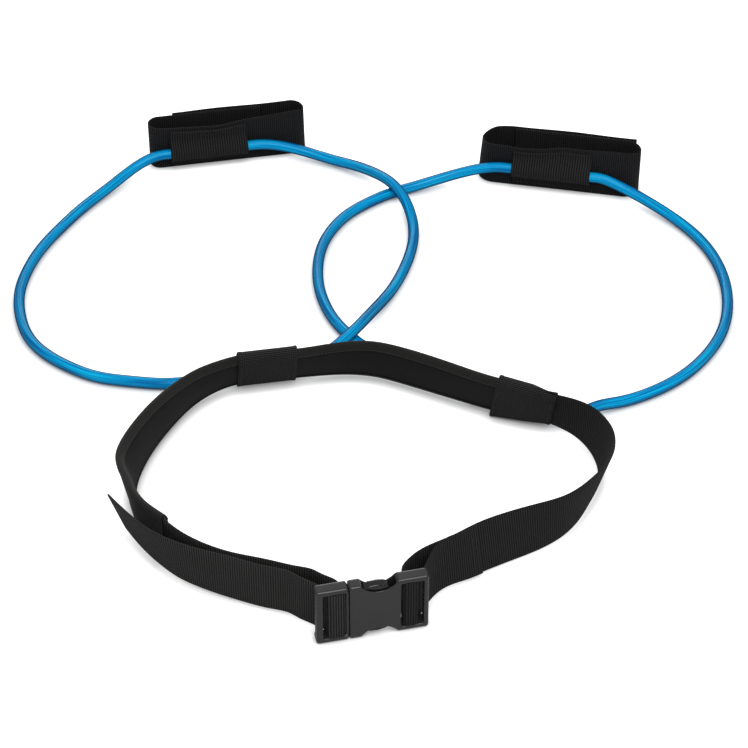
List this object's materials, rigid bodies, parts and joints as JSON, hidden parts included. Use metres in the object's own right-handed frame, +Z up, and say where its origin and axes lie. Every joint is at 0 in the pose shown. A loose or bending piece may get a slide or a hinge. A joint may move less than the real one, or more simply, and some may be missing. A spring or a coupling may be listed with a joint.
{
  "type": "waist resistance band",
  "caption": "Padded webbing waist belt with a side release buckle, elastic tube loops held on it by webbing bands, and wrap-round cuffs on the tubes.",
  "frame": {"origin": "on the table, under the middle of the belt and its cuffs", "axes": "+Z up from the table; -Y towards the buckle, at the wearer's front; +X to the right as the picture shows it"},
  "size_m": [0.7135, 0.7528, 0.0619],
  "materials": {
    "foam": "soft closed-cell foam, matt",
    "lining": "smooth knitted lining",
    "cover": "woven cover fabric",
    "binding": "folded edge tape",
    "webbing": "ribbed woven webbing, black",
    "tail_webbing": "ribbed woven webbing, charcoal",
    "hook_and_loop_tape": "hook and loop pile",
    "tube_rubber": "semi-gloss extruded latex tube, blue",
    "moulded_plastic": "satin moulded plastic, black"
  },
  "bodies": {
    "belt": {"pad_foam": "foam", "pad_lining": "lining", "pad_cover": "cover", "pad_binding_bottom": "binding", "pad_binding_top": "binding", "strap_fixed": "webbing", "strap_adjuster": "tail_webbing", "buckle_socket": "moulded_plastic", "waist_sleeve_left": "webbing", "waist_sleeve_right": "webbing", "tube_left": "tube_rubber", "tube_right": "tube_rubber", "tube_joiner_left": "moulded_plastic", "tube_joiner_right": "moulded_plastic"},
    "plug": {"buckle_plug": "moulded_plastic"},
    "arm_upper": {"latch_arm_upper": "moulded_plastic"},
    "arm_lower": {"latch_arm_lower": "moulded_plastic"},
    "cuff_left": {"cuff_strap_left": "webbing", "cuff_loop_left": "hook_and_loop_tape", "cuff_tunnel_left": "webbing"},
    "lap_left": {"cuff_flap_left": "webbing", "cuff_hook_left": "hook_and_loop_tape"},
    "cuff_right": {"cuff_strap_right": "webbing", "cuff_loop_right": "hook_and_loop_tape", "cuff_tunnel_right": "webbing"},
    "lap_right": {"cuff_flap_right": "webbing", "cuff_hook_right": "hook_and_loop_tape"}
  },
  "joints": [
    {"name": "buckle_release", "type": "slide", "parent": "belt", "child": "plug", "axis": [-0.9744, -0.225, 0], "range_m": [0, 0.04], "deforming": ["strap_adjuster"]},
    {"name": "latch_upper_squeeze", "type": "hinge", "parent": "plug", "child": "arm_upper", "pos_m": [-0.03729, -0.36298, 0.0475], "axis": [-0.225, 0.9744, 0], "range_deg": [0, 7], "stiffness_Nm_per_rad": 2},
    {"name": "latch_lower_squeeze", "type": "hinge", "parent": "plug", "child": "arm_lower", "pos_m": [-0.03729, -0.36298, 0.0125], "axis": [0.225, -0.9744, 0], "range_deg": [0, 7], "stiffness_Nm_per_rad": 2},
    {"name": "cuff_left_turn", "type": "hinge", "parent": "belt", "child": "cuff_left", "pos_m": [-0.1941, 0.3255, 0.021], "axis": [0.9816, 0.1908, 0], "range_deg": [0, 90]},
    {"name": "cuff_left_open", "type": "hinge", "parent": "cuff_left", "child": "lap_left", "pos_m": [-0.11054, 0.37648, 0.0253], "axis": [0, 0, -1], "range_deg": [0, 120]},
    {"name": "cuff_right_turn", "type": "hinge", "parent": "belt", "child": "cuff_right", "pos_m": [0.1649, 0.278, 0.025], "axis": [0.9816, -0.1908, 0], "range_deg": [0, 90]},
    {"name": "cuff_right_open", "type": "hinge", "parent": "cuff_right", "child": "lap_right", "pos_m": [0.11232, 0.33111, 0.0253], "axis": [0, 0, 1], "range_deg": [0, 120]}
  ]
}
